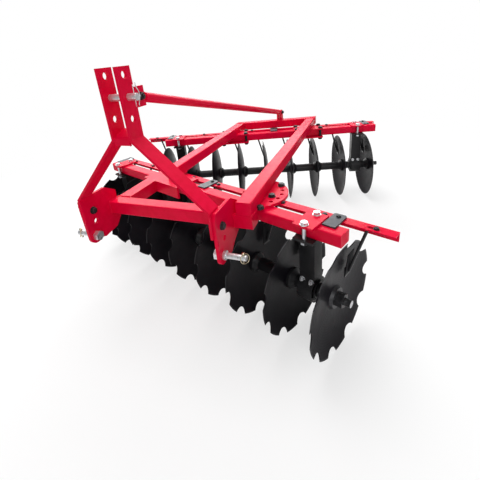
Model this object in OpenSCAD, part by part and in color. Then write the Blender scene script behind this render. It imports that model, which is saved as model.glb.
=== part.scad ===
// Mounted offset disc harrow: two gangs of dished discs under a welded frame with a three-point hitch.
// X runs to the machine's right-hand side as seen from ahead of it, Y runs backward, Z runs up.
// The origin is on the ground under the middle of the machine.

/* [Discs] */
// Diameter of a disc across its rim
disc_d = 560; // [510:5:580]
// Thickness of the disc steel
disc_t = 5; // [4:0.5:7]
// Depth of the dish, from rim to hub
disc_dish = 36; // [30:1:60]
// Diameter of the flat middle of a disc
disc_flat_d = 120; // [110:5:160]
// Number of discs on each gang
disc_count = 9; // [9:1:10]
// Distance between two discs along the axle
disc_pitch = 230; // [225:1:240]
// Notches round the rim of a front disc
notch_count = 10; // [8:1:12]
// Radius of one notch
notch_r = 42; // [16:1:44]
// How far the middle of a notch lies outside the rim
notch_out = 8; // [0:1:12]
// Width of the sharpened rim
rim_w = 14; // [8:1:20]
// Thickness of the rim's cutting edge
rim_t = 1.5; // [1:0.5:3]

/* [Axles and spools] */
// Side of the square gang axle
axle_w = 38; // [28:1:40]
// How far the axle reaches past its end discs
axle_end = 82; // [76:1:110]
// Diameter of the tube of a spool
spool_d = 70; // [66:1:80]
// Diameter of the end flanges of a spool
flange_d = 108; // [100:1:116]
// Thickness of the end flanges of a spool
flange_t = 12; // [8:1:16]
// Length of the cone between flange and tube
cone_l = 22; // [10:1:26]
// Width across the flats of an axle nut
axle_nut_w = 62; // [58:1:70]
// Thickness of an axle nut
axle_nut_t = 34; // [20:1:40]
// Thickness of the heavy washer outside an end disc
axle_washer_t = 14; // [8:1:20]

/* [Bearings and hangers] */
// Diameter of the bearing sleeve inside its housing
journal_d = 66; // [62:1:72]
// Gap all round the turning sleeve
journal_gap = 0.4; // [0.2:0.1:1]
// Diameter of a bearing housing
housing_d = 132; // [120:1:140]
// Length of a bearing housing along the axle
housing_l = 78; // [60:1:84]
// Height of a housing's seat over the axle
housing_seat = 80; // [74:1:90]
// Distance from the end disc to the hanger's middle
hanger_in = 120; // [112:1:124]
// Width of a hanger's column along the axle
column_w = 78; // [60:1:84]
// Depth of a hanger's column
column_d = 70; // [60:1:72]
// Wall of a hanger's column
column_wall = 10; // [6:1:14]
// Thickness of a hanger's end plates
hanger_plate_t = 12; // [8:1:14]
// Length of a beam clamp along the beam
clamp_l = 100; // [90:1:110]
// Depth of a beam clamp across the beam
clamp_w = 142; // [140:1:150]
// Thickness of a beam clamp
clamp_t = 12; // [8:1:16]
// Diameter of the clamp studs
stud_d = 20; // [16:1:20]

/* [Gang places] */
// Angle of the front gang, its right end ahead
front_angle = 21; // [18:1:22]
// Angle of the rear gang, its right end behind
rear_angle = 18; // [15:1:19]
// Right end disc of the front gang, right of the hitch's middle
front_end_x = 846; // [840:1:856]
// Right end disc of the front gang, behind the lower hitch pins
front_end_y = 133; // [125:1:145]
// Right end disc of the rear gang, right of the hitch's middle
rear_end_x = 954; // [940:1:965]
// Right end disc of the rear gang, behind the lower hitch pins
rear_end_y = 1973; // [1960:1:1990]

/* [Frame] */
// Height of the seat between gang beams and upper frame
seat_z = 650; // [640:1:665]
// Width of a gang beam
beam_w = 75; // [70:1:80]
// Height of a gang beam
beam_h = 60; // [50:1:60]
// Beam past the end discs
beam_over = 40; // [20:1:60]
// Corner radius of the square tubes
tube_r = 7; // [4:1:10]
// Width of the side tubes and the rear crossbar
side_w = 77; // [70:1:80]
// Height of the side tubes and the rear crossbar
side_h = 68; // [60:1:75]
// Gap between the right hitch plate and the right side tube
side_gap = 16.5; // [8:0.5:24]
// Middle of the left side tube, to the left of the hitch's middle
side_left_x = 193; // [180:1:205]
// Front end of the left side tube, behind the lower hitch pins
side_left_y = 530; // [515:1:540]
// Front face of the front crossbar, behind the lower hitch pins
cross_y = 138; // [130:1:145]
// Depth of the front crossbar
cross_w = 80; // [70:1:85]
// Height of the front crossbar
cross_h = 72; // [60:1:75]
// Middle of the rear crossbar, behind the rear gang beam
rear_cross_back = 175; // [160:1:190]
// Thickness of the plates between beams and frame
adjuster_t = 16; // [12:1:18]
// Radius of the round adjusting plate
adjuster_r = 182; // [170:1:190]
// Diameter of the adjusting holes
adjust_hole_d = 22; // [16:1:26]

/* [Hitch] */
// Distance between the middles of the hitch plates
hitch_w = 746; // [740:1:752]
// Thickness of a hitch plate
hitch_t = 16; // [12:1:18]
// Height of the lower hitch pins
hitch_z = 520; // [510:1:525]
// Diameter of a lower hitch pin
hitch_pin_d = 28; // [22:1:28]
// Length of a lower hitch pin outside its collar
hitch_pin_l = 95; // [85:1:100]
// Diameter of a lower hitch pin's collar
collar_d = 44; // [40:1:48]
// Thickness of a lower hitch pin's collar
collar_t = 12; // [8:1:16]
// Width across the flats of a lower hitch pin's nut
pin_nut_w = 46; // [40:1:50]
// Thickness of a lower hitch pin's nut
pin_nut_t = 26; // [20:1:30]
// Gap between the rims of the turning discs and a hitch plate
disc_gap = 8; // [5:1:14]
// Distance between the middles of the mast bars
mast_gap = 92; // [76:1:96]
// Thickness of a mast bar
mast_t = 12; // [10:1:16]
// Width of a mast bar
mast_w = 82; // [76:1:96]
// Middle of the mast bars, ahead of the lower hitch pins
mast_ahead = 10; // [5:1:15]
// Lowest top link hole above the lower hitch pins
mast_low = 619; // [610:1:625]
// Distance between the top link holes
mast_step = 86; // [80:1:90]
// Diameter of the top link holes
mast_hole_d = 30; // [20:1:32]
// Gap between the top link pin and its hole
pin_gap = 0.3; // [0.2:0.1:0.5]
// Mast above the highest hole
mast_over = 31; // [30:1:40]
// Height of the mast bars' bend above the lower hitch pins
mast_bend = 535; // [525:1:545]
// Height of the mast bars' foot bend above the lower hitch pins
mast_foot = 228; // [220:1:235]
// Height of the mast bars' ends above the lower hitch pins
mast_end = 105; // [95:1:115]

/* [Tie rod] */
// Diameter of the tie rod
tie_d = 44; // [34:1:46]
// Front end of the tie rod behind the lower hitch pins
tie_front_y = 66; // [60:1:96]
// Front end of the tie rod above the lower hitch pins
tie_front_h = 698; // [680:1:710]
// Rear end of the tie rod, right of the hitch's middle
tie_rear_x = 160; // [140:1:180]
// Rear end of the tie rod above the rear crossbar
tie_rear_h = 70; // [64:1:76]
// Thickness of the tie rod's lugs
lug_t = 14; // [10:1:16]

/* [Scrapers] */
// Diameter of a scraper rod
scraper_d = 14; // [10:1:16]
// Width of a scraper bar
bar_w = 50; // [44:1:54]
// Thickness of a scraper bar
bar_t = 6; // [4:1:8]
// Depth of a scraper bar's lip
bar_lip = 44; // [36:1:48]
// Front edge of a scraper bar behind the axle
bar_back = 68; // [66:1:72]
// Thickness of the plates that hold a scraper bar
holder_t = 8; // [6:1:10]
// Width of a scraper blade
blade_w = 50; // [40:1:56]
// Thickness of a scraper blade
blade_t = 5; // [4:1:6]

/* [Hidden] */
$fn = 48;
disc_r = disc_d / 2;
axle_z = disc_r;
flat_r = disc_flat_d / 2;
bowl_steps = 6;
bowl_r = (pow(disc_r - flat_r, 2) + pow(disc_dish, 2)) / (2 * disc_dish);
gang_l = (disc_count - 1) * disc_pitch;
spool_l = disc_pitch - disc_t;
spool_bore = axle_w / sqrt(2) + 0.3;
fit = 0.3;
// Degrees that the first disc is turned on the axle, and each next disc against the one before
disc_start = 1.5;
disc_turn = 14;

// The machine's middle, seen from the hitch's middle on the lower hitch pins
middle_x = 26;
middle_y = 1039;

// Columns of a gang: place of its right end disc, turn, side of the dish, top of its beam
X = 0;
Y = 1;
TURN = 2;
DISH = 3;
TOP = 4;
FRONT = [front_end_x, front_end_y, -front_angle, 1, seat_z - adjuster_t];
REAR = [rear_end_x, rear_end_y, rear_angle, -1, seat_z];

// A scraper rod's end, bend and tip, and its blade, from the disc's middle
rod_end = 165;
rod_bend = 95;
rod_tip = 33;
blade_x = rod_tip - scraper_d / 2 - blade_t / 2 + 1;
blade_y = 70;
blade_rise = 120;

// Hangers sit in the first and the last space between the discs
hanger_places = [hanger_in, gang_l - disc_pitch + hanger_in];
stud_v = beam_w / 2 + stud_d / 2 + 6;
stud_nut_w = 30;
stud_head_t = 13;
hanger_plate_w = clamp_w;
holder_places = [35, gang_l * 0.46, gang_l - 25];

hitch_x = hitch_w / 2;
side_right_x = hitch_x + hitch_t / 2 + side_gap + side_w / 2;
seat_top = seat_z + side_h;
right_edge = side_right_x + side_w / 2;
bearing_spool_step = disc_count - 2;
stub_w = 80;

// Places

module in_place() {
    translate([-middle_x, -middle_y, 0]) children();
}

module on_gang(gang) {
    translate([gang[X], gang[Y], 0]) rotate([0, 0, gang[TURN]]) children();
}

module along_axle() {
    rotate([0, 90, 0]) children();
}

function beam_y(gang, x) = gang[Y] + (x - gang[X]) * tan(gang[TURN]);

// Small forms

module block(low, high) {
    translate(low) cube(high - low);
}

// A bar with round corners that runs along Y from y0 to y1, its lower left edge at x, z
module tube_y(x, z, y0, y1, w, h) {
    translate([x, y1, z]) rotate([90, 0, 0]) linear_extrude(y1 - y0) round_box(w, h);
}

// The same along X
module tube_x(y, z, x0, x1, w, h) {
    translate([x0, y, z]) rotate([90, 0, 90]) linear_extrude(x1 - x0) round_box(w, h);
}

module round_box(w, h) {
    translate([tube_r, 0]) square([w - 2 * tube_r, h]);
    translate([0, tube_r]) square([w, h - 2 * tube_r]);
    for (x = [tube_r, w - tube_r])
        for (y = [tube_r, h - tube_r])
            translate([x, y]) circle(r = tube_r, $fn = 24);
}

module hex(width, height) {
    cylinder(d = width / cos(30), h = height, $fn = 6);
}

// A rod through a list of points, with a round knuckle at each bend
knuckle = 1.06;
module bent_rod(points, d) {
    for (i = [0 : len(points) - 2]) {
        step = points[i + 1] - points[i];
        run = norm(step);
        translate(points[i])
            rotate([0, acos(step[2] / run), atan2(step[1], step[0])])
                cylinder(d = d, h = run, $fn = 16);
        translate(points[i + 1]) sphere(d = d * knuckle, $fn = 16);
    }
}

// Discs

function dish_at(r) = r < flat_r ? 0 : bowl_r - sqrt(pow(bowl_r, 2) - pow(r - flat_r, 2));

bowl_radii = [for (i = [0 : bowl_steps]) flat_r + (disc_r - rim_w - flat_r) * i / bowl_steps];

module disc_blank() {
    back = [for (r = bowl_radii) [r, dish_at(r) - disc_t / 2]];
    edge = [for (side = [-1, 1]) [disc_r, dish_at(disc_r) + side * rim_t / 2]];
    face = [for (i = [bowl_steps : -1 : 0]) [bowl_radii[i], dish_at(bowl_radii[i]) + disc_t / 2]];
    rotate_extrude($fn = 96)
        polygon(concat([[0, -disc_t / 2]], back, edge, face, [[0, disc_t / 2]]));
}

module disc(gang, notched, turn) {
    hole = axle_w + 2 * fit;
    along_axle() mirror([0, 0, gang[DISH] < 0 ? 1 : 0]) difference() {
        disc_blank();
        cube([hole, hole, 4 * disc_t], center = true);
        if (notched)
            for (i = [0 : notch_count - 1])
                rotate([0, 0, turn + (i + 0.5) * 360 / notch_count])
                    translate([disc_r + notch_out, 0, -disc_t])
                        cylinder(r = notch_r, h = disc_dish + 3 * disc_t, $fn = 32);
    }
}

module discs(gang, notched) {
    color([0.06, 0.06, 0.065])
        on_gang(gang)
            for (k = [0 : disc_count - 1])
                translate([-k * disc_pitch, 0, axle_z]) disc(gang, notched, disc_start - disc_turn * k);
}

// Spools and axles

module spool(tube_d) {
    rotate_extrude() polygon([
        [spool_bore, 0], [flange_d / 2, 0], [flange_d / 2, flange_t],
        [tube_d / 2, flange_t + cone_l], [tube_d / 2, spool_l - flange_t - cone_l],
        [flange_d / 2, spool_l - flange_t], [flange_d / 2, spool_l], [spool_bore, spool_l]
    ]);
}

module spools(gang) {
    color([0.07, 0.07, 0.075])
        on_gang(gang)
            for (k = [0 : disc_count - 2])
                translate([-(k + 1) * disc_pitch + disc_t / 2, 0, axle_z])
                    along_axle() spool(k % bearing_spool_step == 0 ? journal_d : spool_d);
}

module axle(gang) {
    inner = disc_t / 2;
    color([0.15, 0.15, 0.16])
        on_gang(gang) translate([0, 0, axle_z]) {
            block([-gang_l - inner - axle_washer_t, -axle_w / 2, -axle_w / 2],
                  [inner + axle_washer_t, axle_w / 2, axle_w / 2]);
            axle_tip(inner);
            translate([-gang_l, 0, 0]) mirror([1, 0, 0]) axle_tip(inner);
        }
}

// Washer, nut and threaded end outside an end disc
module axle_tip(start) {
    thread_d = axle_w - 4;
    along_axle() translate([0, 0, start]) {
        cylinder(d1 = disc_flat_d - 4, d2 = disc_flat_d - 20, h = axle_washer_t);
        translate([0, 0, axle_washer_t]) hex(axle_nut_w, axle_nut_t);
        cylinder(d = thread_d, h = axle_end - start);
    }
}

// Bearings and hangers

module at_hangers(gang) {
    on_gang(gang)
        for (place = hanger_places)
            translate([-place, 0, 0]) children();
}

module bearings(gang) {
    color([0.05, 0.05, 0.055])
        at_hangers(gang) translate([0, 0, axle_z]) difference() {
            union() {
                along_axle() cylinder(d = housing_d, h = housing_l, center = true);
                along_axle() cylinder(d = housing_d - 34, h = housing_l + 16, center = true);
                block([-housing_l / 2, -column_d / 2, 0], [housing_l / 2, column_d / 2, housing_seat]);
            }
            along_axle() cylinder(d = journal_d + 2 * journal_gap, h = 2 * housing_l, center = true);
        }
}

// A channel column between a foot plate on the bearing and a head plate under the beam
module hangers(gang) {
    foot = axle_z + housing_seat;
    head = gang[TOP] - beam_h;
    color([0.05, 0.05, 0.055])
        at_hangers(gang) difference() {
            union() {
                block([-column_w / 2, -column_d / 2, foot],
                      [column_w / 2, column_d / 2, foot + hanger_plate_t]);
                block([-clamp_l / 2, -hanger_plate_w / 2, head - hanger_plate_t],
                      [clamp_l / 2, hanger_plate_w / 2, head]);
                difference() {
                    block([-column_w / 2, -column_d / 2, foot],
                          [column_w / 2, column_d / 2, head]);
                    block([-column_w / 2 + column_wall, -column_d / 2 + column_wall,
                           foot + hanger_plate_t],
                          [column_w / 2 - column_wall, column_d, head - hanger_plate_t]);
                }
            }
            for (side = [-1, 1])
                translate([0, side * stud_v, head - 2 * hanger_plate_t])
                    cylinder(d = stud_d + 2 * fit, h = 3 * hanger_plate_t);
        }
}

// Red plate over the beam with two studs down to the hanger's head plate
module clamps(gang) {
    top = gang[TOP];
    under = top - beam_h - hanger_plate_t;
    color([0.82, 0.02, 0.12])
        at_hangers(gang) {
            block([-clamp_l / 2, -clamp_w / 2, top], [clamp_l / 2, clamp_w / 2, top + clamp_t]);
            for (side = [-1, 1])
                translate([0, side * stud_v, 0]) {
                    translate([0, 0, under - stud_head_t])
                        cylinder(d = stud_d, h = top + clamp_t - under + stud_head_t);
                    translate([0, 0, top + clamp_t]) hex(stud_nut_w, stud_head_t);
                    translate([0, 0, under - stud_head_t]) hex(stud_nut_w, stud_head_t);
                }
        }
}

// Gang beams

module beam(gang) {
    color([0.82, 0.02, 0.12])
        on_gang(gang)
            tube_x(-beam_w / 2, gang[TOP] - beam_h, -gang_l - beam_over / 2, beam_over,
                   beam_w, beam_h);
}

// Scrapers

// How far a scraper bar reaches past the end discs
bar_long_end = 212;
bar_short_end = 60;
bar_stop = 20;

module scraper_bar(gang) {
    top = gang[TOP];
    side = gang[DISH];
    near = side > 0 ? bar_long_end : bar_short_end;
    far = side > 0 ? -gang_l + bar_stop : -gang_l - bar_long_end;
    color([0.82, 0.02, 0.12])
        on_gang(gang) {
            block([far, bar_back, top - bar_t], [near, bar_back + bar_w, top]);
            block([far, bar_back + bar_w - bar_t, top - bar_lip], [near, bar_back + bar_w, top]);
        }
}

// Slotted plates that hold the scraper bar on the beam
module scraper_holders(gang) {
    holder_w = 60;
    reach = bar_back + bar_w;
    color([0.25, 0.26, 0.3])
        on_gang(gang)
            for (place = holder_places)
                translate([-place, 0, gang[TOP]])
                    linear_extrude(holder_t) difference() {
                        union() {
                            translate([-holder_w / 2, 0]) square([holder_w, reach - 12]);
                            translate([-holder_w / 2 + 12, 0]) square([holder_w - 24, reach]);
                            for (x = [-holder_w / 2 + 12, holder_w / 2 - 12])
                                translate([x, reach - 12]) circle(r = 12, $fn = 24);
                        }
                        translate([-7, bar_back + 14]) square([14, bar_w - 28]);
                    }
}

// One rod and blade per disc, on the hollow side of the disc
module scrapers(gang) {
    side = gang[DISH];
    rod_z = gang[TOP] - bar_t - scraper_d * knuckle / 2;
    rod_y = bar_back + (bar_w - bar_t) / 2;
    tip_z = axle_z + blade_rise;
    color([0.05, 0.05, 0.055])
        on_gang(gang)
            for (k = [0 : disc_count - 1])
                translate([-k * disc_pitch, 0, 0]) {
                    bent_rod([
                        [side * rod_end, rod_y, rod_z], [side * rod_bend, rod_y, rod_z],
                        [side * rod_tip, blade_y, tip_z]
                    ], scraper_d);
                    translate([side * blade_x, blade_y, tip_z - 4])
                        cube([blade_t, blade_w, blade_w], center = true);
                }
}

// Upper and lower frame

module front_crossbar() {
    z = seat_z - cross_h;
    plate = hitch_x + hitch_t / 2;
    color([0.82, 0.02, 0.12]) {
        tube_x(cross_y, z, -hitch_x + hitch_t / 2, hitch_x - hitch_t / 2, cross_w, cross_h);
        tube_x(cross_y, z, plate, right_edge, cross_w, cross_h);
    }
}

// Web of the left adjusting plate, ahead of the front beam
web_v = -100;
web_t = 12;
adjuster_d = 170;
web_u = [-gang_l * 0.705, -gang_l * 0.515];

module frame_stub() {
    x0 = -hitch_x + hitch_t / 2;
    x1 = x0 + stub_w;
    y0 = cross_y + cross_w;
    front_of_web = web_v / cos(front_angle);
    color([0.82, 0.02, 0.12])
        translate([0, 0, seat_z - cross_h])
            linear_extrude(cross_h)
                polygon([
                    [x0, y0], [x1, y0],
                    [x1, beam_y(FRONT, x1) + front_of_web], [x0, beam_y(FRONT, x0) + front_of_web]
                ]);
}

module adjuster_plate_left() {
    top = seat_z - adjuster_t;
    color([0.82, 0.02, 0.12])
        on_gang(FRONT) {
            translate([0, 0, top])
                linear_extrude(adjuster_t) difference() {
                    translate([web_u[0], web_v]) square([web_u[1] - web_u[0], adjuster_d]);
                    for (u = [web_u[0] + 40, web_u[1] - 40])
                        translate([u, beam_w / 2 + 14]) circle(d = adjust_hole_d / 2, $fn = 24);
                }
            block([web_u[0], web_v, seat_z - cross_h], [web_u[1], web_v + web_t, top]);
        }
}

module adjuster_plate_right() {
    x = side_right_x - side_w / 2;
    y = cross_y + cross_w + adjuster_r;
    color([0.82, 0.02, 0.12])
        translate([0, 0, seat_z - adjuster_t])
            linear_extrude(adjuster_t) difference() {
                translate([x, y]) intersection() {
                    circle(r = adjuster_r, $fn = 96);
                    translate([0, -adjuster_r]) square([adjuster_r, 2 * adjuster_r]);
                }
                for (turn = [-38 : 19 : 38])
                    translate([x, y]) rotate([0, 0, turn])
                        translate([adjuster_r - 30, 0]) circle(d = adjust_hole_d, $fn = 24);
            }
}

module side_tube_right() {
    color([0.82, 0.02, 0.12])
        difference() {
            tube_y(side_right_x - side_w / 2, seat_z, cross_y,
                   rear_y(right_edge) + side_w, side_w, side_h);
            behind_crossbar();
        }
}

module side_tube_left() {
    color([0.82, 0.02, 0.12])
        difference() {
            tube_y(-side_left_x - side_w / 2, seat_z, side_left_y,
                   rear_y(-side_left_x) + side_w, side_w, side_h);
            behind_crossbar();
        }
}

// Middle line of the rear crossbar at x
function rear_y(x) = beam_y(REAR, x) + rear_cross_back / cos(rear_angle);

// Everything behind the rear crossbar's front face
module behind_crossbar() {
    on_gang(REAR)
        block([-gang_l, rear_cross_back - side_w / 2, seat_z - side_h],
              [gang_l, rear_cross_back + 4 * side_w, seat_z + 2 * side_h]);
}

module rear_crossbar() {
    color([0.82, 0.02, 0.12])
        intersection() {
            on_gang(REAR)
                tube_x(rear_cross_back - side_w / 2, seat_z, -gang_l, 0, side_w, side_h);
            block([-side_left_x - side_w / 2, 0, seat_z - side_h],
                  [right_edge, 2 * rear_end_y, seat_z + 2 * side_h]);
        }
}

// Plates over and under the rear beam beside a side tube, held by four studs
module rear_bracket(x) {
    half_l = 125;
    u = (x - REAR[X]) / cos(rear_angle);
    under = seat_z - beam_h;
    color([0.82, 0.02, 0.12]) {
        difference() {
            on_gang(REAR)
                block([u - half_l, -clamp_w / 2, seat_z],
                      [u + half_l, clamp_w / 2, seat_z + clamp_t]);
            block([x - side_w / 2, 0, seat_z - 1],
                  [x + side_w / 2, 2 * rear_end_y, seat_z + side_h]);
        }
        on_gang(REAR) {
            block([u - half_l, -clamp_w / 2, under - clamp_t], [u + half_l, clamp_w / 2, under]);
            for (along = [-1, 1])
                for (side = [-1, 1])
                    translate([u + along * (half_l - 22), side * stud_v, 0]) {
                        translate([0, 0, under - clamp_t])
                            cylinder(d = stud_d, h = beam_h + 2 * clamp_t);
                        translate([0, 0, seat_z + clamp_t]) hex(stud_nut_w, stud_head_t);
                        translate([0, 0, under - clamp_t - stud_head_t])
                            hex(stud_nut_w, stud_head_t);
                    }
        }
    }
}

// Hitch

hole_y = -mast_ahead;
function mast_hole_z(i) = hitch_z + mast_low + i * mast_step;
mast_top = mast_hole_z(2) + mast_over;
foot_x = hitch_x - hitch_t / 2 - mast_t / 2;

// Middle line of the right mast bar in X and Z
mast_line = [
    [mast_gap / 2, mast_top], [mast_gap / 2, hitch_z + mast_bend],
    [foot_x, hitch_z + mast_foot], [foot_x, hitch_z + mast_end]
];

// One side of a bar whose middle line is given, at a distance from that line
function unit(v) = v / norm(v);
function beside(line, d) = [
    for (i = [0 : len(line) - 1])
        let (before = unit(line[max(i, 1)] - line[max(i, 1) - 1]))
        let (after = unit(line[min(i + 1, len(line) - 1)] - line[min(i, len(line) - 2)]))
        let (mid = unit([-before[1] - after[1], before[0] + after[0]]))
        line[i] + mid * d / (mid * [-before[1], before[0]])
];

function turned(list) = [for (i = [len(list) - 1 : -1 : 0]) list[i]];

module mast_bar(side) {
    color([0.82, 0.02, 0.12])
        mirror([side < 0 ? 1 : 0, 0, 0]) difference() {
            translate([0, mast_w / 2 - mast_ahead, 0]) rotate([90, 0, 0])
                linear_extrude(mast_w)
                    polygon(concat(beside(mast_line, mast_t / 2), turned(beside(mast_line, -mast_t / 2))));
            for (i = [0 : 2])
                translate([0, hole_y, mast_hole_z(i)]) along_axle()
                    cylinder(d = mast_hole_d, h = 2 * mast_gap);
        }
}

module mast_spacer() {
    gap = mast_gap - mast_t;
    z = hitch_z + mast_bend;
    color([0.82, 0.02, 0.12]) {
        block([-gap / 2, -mast_ahead - 30, z + 6], [gap / 2, -mast_ahead + 30, z + 18]);
    }
}

pin_head_t = 10;
pin_over = 42;

module top_link_pin() {
    half = mast_gap / 2 + mast_t / 2;
    color([0.75, 0.75, 0.78])
        translate([0, hole_y, mast_hole_z(1)]) along_axle() {
            translate([0, 0, -half - pin_head_t])
                cylinder(d = mast_hole_d - 2 * pin_gap, h = 2 * half + pin_head_t + pin_over);
            translate([0, 0, -half - pin_head_t]) cylinder(d = mast_hole_d + 14, h = pin_head_t);
        }
}

// Outline of a hitch plate in Y and Z, from the lower hitch pin's axis
hitch_outline = [
    [-42, 0], [-46, 190], [-30, 222], [130, 222], [204, 178], [198, 15], [155, -28], [60, -42]
];

module hitch_plate(side) {
    color([0.82, 0.02, 0.12])
        difference() {
            mirror([side < 0 ? 1 : 0, 0, 0])
                translate([hitch_x - hitch_t / 2, 0, hitch_z])
                    rotate([90, 0, 90]) linear_extrude(hitch_t) difference() {
                        union() {
                            polygon(hitch_outline);
                            circle(r = 42, $fn = 48);
                        }
                        circle(d = hitch_pin_d + 2 * fit, $fn = 48);
                        translate([25, 75]) circle(d = hitch_pin_d, $fn = 32);
                    }
            on_gang(FRONT) translate([0, 0, axle_z]) along_axle()
                cylinder(r = disc_r + disc_gap, h = 2 * gang_l, center = true, $fn = 96);
        }
}

module hitch_pin(side) {
    out = hitch_x + hitch_t / 2;
    inner = hitch_x - hitch_t / 2;
    color([0.75, 0.75, 0.78])
        mirror([side < 0 ? 1 : 0, 0, 0])
            translate([0, 0, hitch_z]) along_axle() {
                translate([0, 0, inner - pin_nut_t])
                    cylinder(d = hitch_pin_d, h = out + collar_t + hitch_pin_l - inner + pin_nut_t);
                translate([0, 0, inner - pin_nut_t]) hex(pin_nut_w, pin_nut_t);
                translate([0, 0, out]) cylinder(d = collar_d, h = collar_t);
            }
}

// Tie rod

// Pivots of the tie rod
tie_x = mast_gap / 2 - mast_t / 2 - lug_t / 2 - 2;
tie_front = [tie_x, tie_front_y, hitch_z + tie_front_h];
tie_rear = [tie_rear_x, rear_y(tie_rear_x), seat_top + tie_rear_h];
lug_bolt_d = 18;

module tie_rod() {
    run = tie_rear - tie_front;
    dir = run / norm(run);
    eye_w = lug_t;
    color([0.82, 0.02, 0.12]) {
        bent_start = tie_front + dir * 40;
        bent_end = tie_rear - dir * 40;
        translate(bent_start)
            rotate([0, acos(dir[2]), atan2(dir[1], dir[0])])
                cylinder(d = tie_d, h = norm(bent_end - bent_start), $fn = 32);
        for (end = [[tie_front, dir], [tie_rear, -dir]])
            translate(end[0])
                rotate([0, 0, atan2(dir[1], dir[0]) - 90])
                    rotate([atan2(dir[2], norm([dir[0], dir[1]])), 0, 0])
                        tie_eye(end[1] * dir, eye_w);
    }
}

// Flat eye at an end of the tie rod, its tongue towards the rod
module tie_eye(way, eye_w) {
    rotate([0, 90, 0]) difference() {
        union() {
            cylinder(d = tie_d - 4, h = eye_w, center = true, $fn = 32);
            translate([0, way * 32, 0]) cube([tie_d - 8, 64, eye_w], center = true);
        }
        cylinder(d = lug_bolt_d, h = 2 * eye_w, center = true, $fn = 32);
    }
}

// Lug welded on the back edge of the right mast bar, outside the rod's eye
lug_h = 84;
lug_over = 25;

module tie_rod_lug_front() {
    back = mast_w / 2 - mast_ahead;
    end = tie_front_y + lug_over;
    z = tie_front[2];
    color([0.82, 0.02, 0.12])
        translate([mast_gap / 2 - mast_t / 2, 0, 0]) rotate([90, 0, 90])
            linear_extrude(mast_t) difference() {
                translate([back, z - lug_h / 2]) square([end - back, lug_h]);
                translate([tie_front_y, z]) circle(d = lug_bolt_d, $fn = 32);
            }
}

// Two lugs on the rear crossbar with the rod's eye between them
module tie_rod_lugs_rear() {
    turn = -atan2(tie_rear[0] - tie_front[0], tie_rear[1] - tie_front[1]);
    color([0.82, 0.02, 0.12])
        translate([tie_rear[0], tie_rear[1], seat_top]) rotate([0, 0, turn])
            for (side = [-1, 1])
                translate([side * (lug_t + 0.5) - lug_t / 2, 0, 0]) rotate([90, 0, 90])
                    linear_extrude(lug_t) difference() {
                        union() {
                            polygon([[-30, 0], [-24, tie_rear_h], [24, tie_rear_h], [30, 0]]);
                            translate([0, tie_rear_h]) circle(r = 24, $fn = 32);
                        }
                        translate([0, tie_rear_h]) circle(d = lug_bolt_d, $fn = 32);
                    }
}

in_place() mast_bar(-1);  // mast_bar_left
in_place() mast_bar(1);  // mast_bar_right
in_place() mast_spacer();
in_place() top_link_pin();
in_place() hitch_plate(-1);  // hitch_plate_left
in_place() hitch_plate(1);  // hitch_plate_right
in_place() hitch_pin(-1);  // hitch_pin_left
in_place() hitch_pin(1);  // hitch_pin_right
in_place() front_crossbar();
in_place() frame_stub();
in_place() side_tube_left();
in_place() side_tube_right();
in_place() rear_crossbar();
in_place() tie_rod();
in_place() tie_rod_lug_front();
in_place() tie_rod_lugs_rear();
in_place() adjuster_plate_left();
in_place() adjuster_plate_right();
in_place() rear_bracket(-side_left_x);  // rear_bracket_left
in_place() rear_bracket(side_right_x);  // rear_bracket_right
in_place() beam(FRONT);  // front_beam
in_place() beam(REAR);  // rear_beam
in_place() clamps(FRONT);  // front_clamps
in_place() clamps(REAR);  // rear_clamps
in_place() hangers(FRONT);  // front_hangers
in_place() hangers(REAR);  // rear_hangers
in_place() bearings(FRONT);  // front_bearings
in_place() bearings(REAR);  // rear_bearings
in_place() scraper_bar(FRONT);  // front_scraper_bar
in_place() scraper_bar(REAR);  // rear_scraper_bar
in_place() scraper_holders(FRONT);  // front_scraper_holders
in_place() scraper_holders(REAR);  // rear_scraper_holders
in_place() scrapers(FRONT);  // front_scrapers
in_place() scrapers(REAR);  // rear_scrapers
in_place() discs(FRONT, true);  // front_discs
in_place() spools(FRONT);  // front_spools
in_place() axle(FRONT);  // front_axle
in_place() discs(REAR, false);  // rear_discs
in_place() spools(REAR);  // rear_spools
in_place() axle(REAR);  // rear_axle
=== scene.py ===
# %% [markdown]
# # A mounted offset disc harrow
# Two gangs of dished steel discs hang under a welded red frame that a tractor lifts by three points.
# The rigid pieces come from the CAD model. This file gives every one of them its finish, rebuilds the
# discs as smooth turned plates, and adds what a workshop adds last: bolts, washers, weld beads,
# threads, slots and pins. Lengths are written in millimetres, as on a drawing, and turned into
# Blender's metres by one factor.

# %% Modules and the CAD pieces
import math

import bmesh
import bpy
from mathutils import Matrix, Vector


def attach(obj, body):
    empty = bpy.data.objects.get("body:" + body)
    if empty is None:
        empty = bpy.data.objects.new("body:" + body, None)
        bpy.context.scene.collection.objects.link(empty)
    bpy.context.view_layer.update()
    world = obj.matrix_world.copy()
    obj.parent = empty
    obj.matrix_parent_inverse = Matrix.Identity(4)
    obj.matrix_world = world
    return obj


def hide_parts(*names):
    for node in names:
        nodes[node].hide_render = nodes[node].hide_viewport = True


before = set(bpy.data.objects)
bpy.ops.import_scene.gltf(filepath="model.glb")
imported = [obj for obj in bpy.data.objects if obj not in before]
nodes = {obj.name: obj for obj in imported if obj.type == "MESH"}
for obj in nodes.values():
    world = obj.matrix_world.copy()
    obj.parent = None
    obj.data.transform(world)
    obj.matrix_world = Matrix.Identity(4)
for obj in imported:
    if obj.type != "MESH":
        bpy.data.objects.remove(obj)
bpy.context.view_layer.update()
MM = 0.001

# %% [markdown]
# Places on a harrow are easiest to give in two ways. The hitch is measured from the point midway
# between the lower pins, and everything on a gang is measured along its beam (u), across it (v) and
# up (z). Two small functions turn both into places in the scene, so that hardly any other cell needs
# an angle.

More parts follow.
